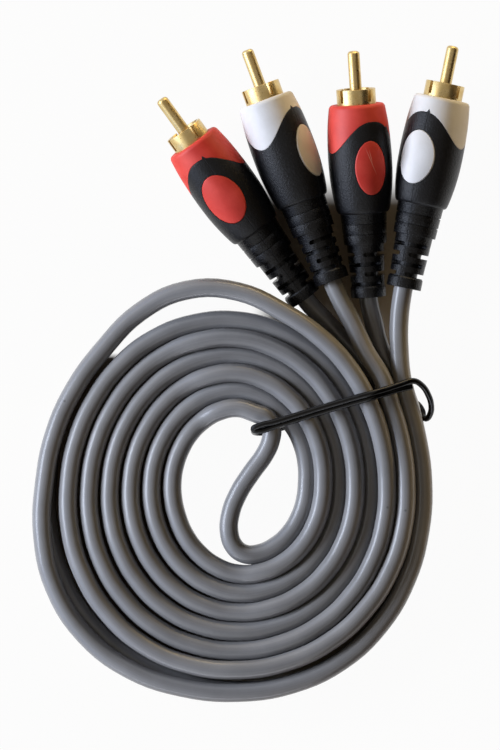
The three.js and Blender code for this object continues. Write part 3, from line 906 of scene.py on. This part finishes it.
def new_material(name):
    """A material, the function that adds nodes to it, and its shader."""
    material = bpy.data.materials.new(name)
    material.use_nodes = True
    tree = material.node_tree
    return material, functools.partial(add, tree), tree.nodes["Principled BSDF"]


def wear(material, *pieces):
    """Gives the pieces their material."""
    for piece in pieces:
        piece.data.materials.clear()
        piece.data.materials.append(material)
    print("material:", material.name, "on", len(pieces))


# %% [markdown]
# ### Extruded grey vinyl (soft PVC)
#
# Cord jackets are pushed out of a die warm. The surface is satin, with faint lines along the
# cord from the die and a very fine mottling. Vinyl has an IOR of about 1.53. The grain of a
# few hundredths of a millimetre is drawn at a third of a millimetre, so that it shows. Three
# small nicks sit where this cord has them.

# %% Grey vinyl
VINYL_IOR = 1.53
GRAIN_SCALE = 1 / (0.35 * MM)
MOTTLE_SCALE = 1 / (9 * MM)
DIE_STRETCH = (6.0, 46.0, 1.0)
NICKS = ((-48.7, -7.1), (36.1, -35.0), (40.8, -35.8))
NICK_RADIUS = 0.45 * MM

grey_vinyl, node, shader = new_material("extruded_grey_vinyl")
place = node("TexCoord")
here = place.outputs["Object"]
mottle = node("TexNoise", {"Vector": here, "Scale": MOTTLE_SCALE, "Detail": 3.0})
grain = node("TexNoise", {"Vector": here, "Scale": GRAIN_SCALE, "Detail": 2.0})
die = node("Mapping", {"Vector": place.outputs["UV"], "Scale": DIE_STRETCH})
lines = node("TexNoise", {"Vector": die, "Scale": 1.0, "Detail": 2.0})
shade = node("ValToRGB", {"Fac": mottle}, ((0.3, "#88888a"), (0.7, "#929294")))
streak = node(
    "MapRange", {"Value": lines, "From Min": 0.3, "From Max": 0.7, "To Min": 0.93, "To Max": 1.04}
)
colour = node("VectorMath", {0: shade, "Scale": streak}, operation="SCALE")
for x, y in NICKS:
    flat = node("VectorMath", {0: here, 1: (1, 1, 0)}, operation="MULTIPLY")
    away = node("VectorMath", {0: flat, 1: (x * MM, y * MM, 0)}, operation="DISTANCE")
    nick = node("MapRange", {"Value": away, "From Min": NICK_RADIUS, "From Max": 0.3 * NICK_RADIUS})
    colour = node("Mix", {"Factor": nick, "A": colour, "B": "#6c6c6e"}, data_type="RGBA")
gloss = node("MapRange", {"Value": grain, "To Min": 0.19, "To Max": 0.27})
relief = node("Bump", {"Height": grain, "Strength": 0.18, "Distance": 0.05 * MM})
ridges = node("Bump", {"Height": lines, "Strength": 0.25, "Distance": 0.06 * MM, "Normal": relief})
feed(shader, {"Base Color": colour, "Roughness": gloss, "Normal": ridges, "IOR": VINYL_IOR})
wear(grey_vinyl, upper_jacket, lower_jacket, cord_web)

# %% [markdown]
# ### Moulded coloured vinyl
#
# Red and white PVC from the same mould, so one recipe takes two colours. The mould's fine
# spark texture makes it satin. Handling has left the colour a little uneven, lighter in some
# patches and deeper in others, and one red pad has two crossing hairline scratches.

# %% Red and white mouldings
SPARK_SCALE = 1 / (0.3 * MM)
FILM_SCALE = 1 / (5 * MM)
SCRATCHES = (((30.1, 59.6), (33.4, 51.8)), ((31.2, 58.9), (32.2, 54.9)))
SCRATCH_WIDTH = 0.08


def moulded_vinyl(name, deep, pale, scratches=()):
    material, node, shader = new_material(name)
    here = node("TexCoord").outputs["Object"]
    film = node("TexNoise", {"Vector": here, "Scale": FILM_SCALE, "Detail": 4.0})
    spark = node("TexNoise", {"Vector": here, "Scale": SPARK_SCALE, "Detail": 2.0})
    colour = node("ValToRGB", {"Fac": film}, ((0.32, deep), (0.68, pale)))
    for start, end in scratches:
        start, end = Vector((*start, 0)) * MM, Vector((*end, 0)) * MM
        run = end - start
        line = node(
            "Mapping",
            {
                "Vector": here, "Location": start.lerp(end, 0.5),
                "Rotation": (0, 0, math.atan2(run.y, run.x)),
                "Scale": (run.length, 2 * SCRATCH_WIDTH * MM, 1),
            },
            vector_type="TEXTURE",
        )
        flat = node("VectorMath", {0: line, 1: (2, 2, 0)}, operation="MULTIPLY")
        ball = node("VectorMath", {0: flat}, operation="LENGTH")
        on_line = node("MapRange", {"Value": ball, "From Min": 1.0, "From Max": 0.4})
        colour = node("Mix", {"Factor": on_line, "A": colour, "B": "#eba79d"}, data_type="RGBA")
    gloss = node("MapRange", {"Value": film, "To Min": 0.48, "To Max": 0.64})
    relief = node("Bump", {"Height": spark, "Strength": 0.4, "Distance": 0.06 * MM})
    feed(shader, {"Base Color": colour, "Roughness": gloss, "Normal": relief})
    feed(shader, {"IOR": VINYL_IOR, "Specular IOR Level": 0.38})
    return material


red_vinyl = moulded_vinyl("moulded_red_vinyl", "#d2352a", "#e4493c", SCRATCHES)
white_vinyl = moulded_vinyl("moulded_white_vinyl", "#e0dfdf", "#e9e9ea")
for plug, made in plug_pieces.items():
    wear(red_vinyl if plug.startswith("red") else white_vinyl, made["collar"])

# %% [markdown]
# ### Black overmoulding
#
# The same soft vinyl with carbon black. Its mould was blasted coarser than the coloured one,
# which shows as a fine leathery grain with a soft sheen. The grain's high points are painted a
# little lighter, a painted sheen. The neck and the relief are smoother. The mould opened along
# the middle of the ovals and left a hairline there. The floors of the slots are painted a shade
# lighter, a painted glint, so that they read as openings.

# %% Black vinyl
BLAST_SCALE = 1 / (0.42 * MM)
PARTING_WIDTH = 0.11
BLACK_IOR = 1.5

black_vinyl, node, shader = new_material("blasted_black_vinyl")
here = node("TexCoord").outputs["Object"]
on_plug = node("Attribute", attribute_name="on_plug").outputs["Vector"]
blast = node("TexNoise", {"Vector": here, "Scale": BLAST_SCALE, "Detail": 3.0, "Roughness": 0.6})
dust = node("TexNoise", {"Vector": here, "Scale": FILM_SCALE, "Detail": 5.0})
across = node("SeparateXYZ", {"Vector": on_plug})
off_line = node("Math", {0: across.outputs["X"]}, operation="ABSOLUTE")
parting = node(
    "MapRange", {"Value": off_line, "From Min": PARTING_WIDTH, "From Max": 0.4 * PARTING_WIDTH}
)
colour = node("ValToRGB", {"Fac": dust}, ((0.35, "#060608"), (0.75, "#0c0c0f")))
# Painted sheen: the grain's high points are mixed towards a lighter black.
painted_sheen_peaks = node("MapRange", {"Value": blast, "From Min": 0.52, "From Max": 0.68, "To Max": 0.85})
off_axis = node("VectorMath", {0: on_plug, 1: (1, 0, 1)}, operation="MULTIPLY")
off_axis = node("VectorMath", {0: off_axis}, operation="LENGTH")
# Painted glint: the floors of the relief's slots are mixed a shade lighter.
slot_floor_painted_glint = node(
    "MapRange",
    {"Value": off_axis, "From Min": RELIEF_SLOT_FLOOR + 0.25, "From Max": RELIEF_SLOT_FLOOR + 0.1},
)
for where, tone in ((painted_sheen_peaks, "#17181c"), (slot_floor_painted_glint, "#1c1d20"), (parting, "#060607")):
    colour = node("Mix", {"Factor": where, "A": colour, "B": tone}, data_type="RGBA")
gloss = node("MapRange", {"Value": blast, "To Min": 0.26, "To Max": 0.44})
polished = node(
    "MapRange",
    {
        "Value": across.outputs["Y"], "From Min": -BODY_LENGTH - 0.4, "From Max": -BODY_LENGTH,
        "To Min": 0.75, "To Max": 1.0,
    },
)
gloss = node("Math", {0: gloss, 1: polished}, operation="MULTIPLY")
pebbles = node("Bump", {"Height": blast, "Strength": 1.0, "Distance": 0.13 * MM})
groove = {"Height": parting, "Strength": 0.8, "Distance": 0.1 * MM, "Normal": pebbles}
groove = node("Bump", groove, invert=True)
feed(shader, {"Base Color": colour, "Roughness": gloss, "Normal": groove})
feed(shader, {"IOR": BLACK_IOR, "Specular IOR Level": 0.31})
wear(black_vinyl, *(made["grip"] for made in plug_pieces.values()))

# %% [markdown]
# ### Gold plating on turned brass
#
# A metal's colour is its base colour, and its IOR stays at the default. The lathe's fine
# rings show under the thin plating, and fingers and sockets have dulled it in patches and
# left small dark pits.

# %% Gold plate
TURNING_PITCH = 0.35
TARNISH_SCALE = 1 / (2.2 * MM)
PIT_SCALE = 1 / (0.5 * MM)

gold_plate, node, shader = new_material("gold_plated_brass")
here = node("TexCoord").outputs["Object"]
on_plug = node("Attribute", attribute_name="on_plug").outputs["Vector"]
tarnish = node("TexNoise", {"Vector": here, "Scale": TARNISH_SCALE, "Detail": 5.0})
pits = node("TexNoise", {"Vector": here, "Scale": PIT_SCALE, "Detail": 2.0})
squeeze = node("VectorMath", {0: on_plug, 1: (0.15, 1 / TURNING_PITCH, 0.15)}, operation="MULTIPLY")
turning = node("TexNoise", {"Vector": squeeze, "Scale": 1.0, "Detail": 2.0})
shade = node("ValToRGB", {"Fac": tarnish}, ((0.3, "#c7a96b"), (0.62, "#dec58d")))
pitted = node("MapRange", {"Value": pits, "From Min": 0.66, "From Max": 0.74})
colour = node("Mix", {"Factor": pitted, "A": shade, "B": "#8d7038"}, data_type="RGBA")
gloss = node(
    "MapRange", {"Value": tarnish, "From Min": 0.3, "From Max": 0.7, "To Min": 0.38, "To Max": 0.24}
)
rings = node("Bump", {"Height": turning, "Strength": 0.2, "Distance": 0.04 * MM})
feed(shader, {"Base Color": colour, "Roughness": gloss, "Normal": rings, "Metallic": 1.0})
wear(gold_plate, *(made[part] for made in plug_pieces.values() for part in ("pin", "ring")))

# %% [markdown]
# ### Natural nylon and the tie's vinyl coat
#
# The insulator discs, and the cores inside the plugs, are uncoloured nylon, which is slightly
# yellow and milky. The tie's coat is a thin hard vinyl, glossier than the cord, dimpled where
# the wire was bent.

# %% Nylon and tie coat
CLOUD_SCALE = 1 / (1.5 * MM)
DIMPLE_SCALE = 1 / (1.1 * MM)

nylon, node, shader = new_material("natural_nylon")
here = node("TexCoord").outputs["Object"]
cloud = node("TexNoise", {"Vector": here, "Scale": CLOUD_SCALE, "Detail": 3.0})
shade = node("ValToRGB", {"Fac": cloud}, ((0, "#cfc7b0"), (1, "#e6e0cf")))
skin = node("Bump", {"Height": cloud, "Strength": 0.15, "Distance": 0.05 * MM})
feed(shader, {"Base Color": shade, "Normal": skin, "Roughness": 0.45, "IOR": VINYL_IOR})
wear(nylon, *(made["insulator"] for made in plug_pieces.values()))
wear(nylon, *(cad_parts[f"{plug}_core_wire"] for plug in PLUGS))

tie_coat, node, shader = new_material("black_vinyl_coat")
here = node("TexCoord").outputs["Object"]
dimple = node("TexNoise", {"Vector": here, "Scale": DIMPLE_SCALE, "Detail": 3.0})
shade = node("ValToRGB", {"Fac": dimple}, ((0, "#060607"), (1, "#0d0d0e")))
gloss = node("MapRange", {"Value": dimple, "To Min": 0.13, "To Max": 0.24})
skin = node("Bump", {"Height": dimple, "Strength": 0.35, "Distance": 0.12 * MM})
feed(shader, {"Base Color": shade, "Roughness": gloss, "Normal": skin})
feed(shader, {"IOR": BLACK_IOR, "Specular IOR Level": 0.3})
wear(tie_coat, wire_tie)

# %% [markdown]
# ## Studio
#
# The photograph was lit by a cool window at the left, so low that the turns of the cord shade
# each other, with a warm room on the right. A soft lamp stands for the window, and three weak
# low ones light the sides that it doesn't reach. The floor is a plain pale sheet. To the
# camera, and in reflections, it glows towards white, so the background is white and a soft
# shadow stays. Under the coil and between the leads a painted mask switches the glow off, a
# painted shade, so the gaps between the turns and the floor between the plugs stay dark. Four
# cards are seen by reflections alone, as a studio's cards are: two sky-blue ones at the left
# for the bright flanks, a grey one overhead and a dark one at the right.

# %% Floor, lamps and world
FLOOR_GLOW = 0.96
FLOOR_HALF_WIDTH = 3.0
FLOOR_STEPS = 150
FINE_REACH = 100.0
FINE_SHARE = 0.96
BETWEEN_LEADS = (
    (-14.5, 60), (14.6, 19.75), (19.6, 14.2), (27.4, 5.7), (28, -6), (33, -16),
    (43, -16), (41, -6), (39.2, 6), (39.6, 14), (40.3, 22.7), (48, 60),
)
LEADS_FADE = (44, 53)
OPEN_TOP = (70, 135)
OPEN_TOP_FADE = (76, 86)


def straight_to_camera(node):
    """1 for rays that show the background: from the camera, or by way of gloss or glass."""
    rays = node("LightPath").outputs
    glossy = node("Math", {0: rays["Is Camera Ray"], 1: rays["Is Glossy Ray"]}, operation="MAXIMUM")
    return node("Math", {0: glossy, 1: rays["Is Transmission Ray"]}, operation="MAXIMUM")


def floor_place(share):
    """Even small steps under the lead, and then one leap out to the floor's edge."""
    if abs(share) <= FINE_SHARE:
        return share / FINE_SHARE * FINE_REACH * MM
    return math.copysign(FLOOR_HALF_WIDTH, share)


def is_between_leads(x, y):
    inside = False
    for (x0, y0), (x1, y1) in zip(BETWEEN_LEADS, BETWEEN_LEADS[1:] + BETWEEN_LEADS[:1]):
        if (y0 > y) != (y1 > y) and x < x0 + (x1 - x0) * (y - y0) / (y1 - y0):
            inside = not inside
    return inside


def between_turns(x, y):
    """Painted shade, from the innermost turn's centreline to the outermost one's, but for the open
    top left.
    """
    away = Vector((x, y)) - COIL_CENTRE
    angle = math.degrees(math.atan2(away.y, away.x)) % 360
    reach = sorted(
        turn_distance(winding, slack, a)
        for winding, slack in ((OUTER_WINDING, outer_slack), (INNER_WINDING, inner_slack))
        for a in (angle + 360 * i for i in range(5))
        if winding["start"] <= a <= winding["end"]
    )
    if not reach[0] < away.length < reach[-1]:
        return 0.0
    in_open_part = OPEN_TOP[0] < angle < OPEN_TOP[1] and away.length > reach[-2]
    return 1 - rise(*OPEN_TOP_FADE, angle) if in_open_part else 1.0


bm = bmesh.new()
bmesh.ops.create_grid(bm, x_segments=FLOOR_STEPS, y_segments=FLOOR_STEPS, size=1)
# A painted shade mask on the floor: 1 where its glow is off, between the leads and between the
# turns.
dark = bm.verts.layers.float.new("floor_painted_shade")
for vert in bm.verts:
    vert.co = (floor_place(vert.co.x), floor_place(vert.co.y), 0)
    x, y = vert.co.x / MM, vert.co.y / MM
    vert[dark] = 1 - rise(*LEADS_FADE, y) if is_between_leads(x, y) else between_turns(x, y)
floor = loose_object("floor", bm)
paper, node, shader = new_material("white_paper_sweep")
paper.node_tree.nodes.remove(shader)
here = node("TexCoord").outputs["Object"]
fibre = node("TexNoise", {"Vector": here, "Scale": 1 / (1.2 * MM), "Detail": 3.0})
shade = node("ValToRGB", {"Fac": fibre}, ((0, "#cbc2b7"), (1, "#d3cabf")))
matt = node("BsdfDiffuse", {"Color": shade})
glow = node("Emission", {"Color": "#ffffff", "Strength": 1.0})
# Where the painted shade mask is 1, the floor shows only its plain lit paper.
floor_painted_shade = node("Attribute", attribute_name="floor_painted_shade").outputs["Fac"]
glowing = node("Math", {0: 1.0, 1: floor_painted_shade}, operation="SUBTRACT")
glowing = node("Math", {0: glowing, 1: FLOOR_GLOW}, operation="MULTIPLY")
share = node("Math", {0: straight_to_camera(node), 1: glowing}, operation="MULTIPLY")
both = node("MixShader", {0: share, 1: matt, 2: glow})
feed(paper.node_tree.nodes["Material Output"], {"Surface": both})
wear(paper, floor)


def soft_lamp(name, place, size, power, hex_colour):
    lamp_data = bpy.data.lights.new(name, "AREA")
    lamp_data.shape = "RECTANGLE"
    lamp_data.size, lamp_data.size_y = size
    lamp_data.energy = power
    lamp_data.color = linear(hex_colour)[:3]
    lamp = new_object(name, lamp_data)
    lamp.location = place
    lamp.rotation_euler = (-Vector(place)).to_track_quat("-Z", "Y").to_euler()
    lamp.visible_camera = False


soft_lamp("window", (-1.04, 0.08, 0.43), (0.75, 0.38), 19.0, "#e5edfc")
soft_lamp("room_right", (0.95, 0.05, 0.06), (1.3, 0.09), 1.2, "#ffd9a8")
soft_lamp("room_front", (-0.15, -1.0, 0.1), (1.3, 0.13), 2.2, "#eef1ff")
soft_lamp("room_back", (0.2, 0.42, 0.07), (0.5, 0.1), 1.0, "#ffdd9c")


def reflected_card(name, size, middle, tilt, hex_colour, strength=1.0):
    """A card of an even tone that only reflections see, tilted about Y by some degrees."""
    bm = bmesh.new()
    bmesh.ops.create_grid(bm, x_segments=1, y_segments=1, size=0.5)
    bmesh.ops.scale(bm, vec=(*size, 1), verts=bm.verts)
    tilted = Matrix.Translation(middle) @ Matrix.Rotation(math.radians(tilt), 4, "Y")
    bmesh.ops.transform(bm, matrix=tilted, verts=bm.verts)
    card = loose_object(name, bm)
    paper, node, shader = new_material(name)
    paper.node_tree.nodes.remove(shader)
    tone = node("Emission", {"Color": hex_colour, "Strength": strength})
    feed(paper.node_tree.nodes["Material Output"], {"Surface": tone})
    wear(paper, card)
    for ray in ("camera", "diffuse", "shadow", "transmission", "volume_scatter"):
        setattr(card, "visible_" + ray, False)


reflected_card("sky_card", (0.42, 1.6), (-0.5, 0.1, 0.215), 90, "#c9daff", 1.2)
reflected_card("bright_card", (0.22, 0.6), (-0.48, 0.06, 0.37), 54, "#cbdcff", 3.6)
reflected_card("grey_card", (1.4, 1.6), (0.1, 0, 1.1), 0, "#a29c94")
reflected_card("dark_card", (0.9, 1.6), (0.42, 0, 0.42), -68, "#2a2622")

world = bpy.data.worlds.new("studio")
bpy.context.scene.world = world
world.use_nodes = True
node = functools.partial(add, world.node_tree)
room = world.node_tree.nodes["Background"]
feed(room, {"Color": "#f1dcbc", "Strength": 0.08})
white = node("Background", {"Color": "#ffffff", "Strength": 1.0})
seen = node("MixShader", {0: straight_to_camera(node), 1: room, 2: white})
feed(world.node_tree.nodes["World Output"], {"Surface": seen})
bpy.context.scene.view_settings.view_transform = "Standard"
print("studio:  lamps, floor and world in place")
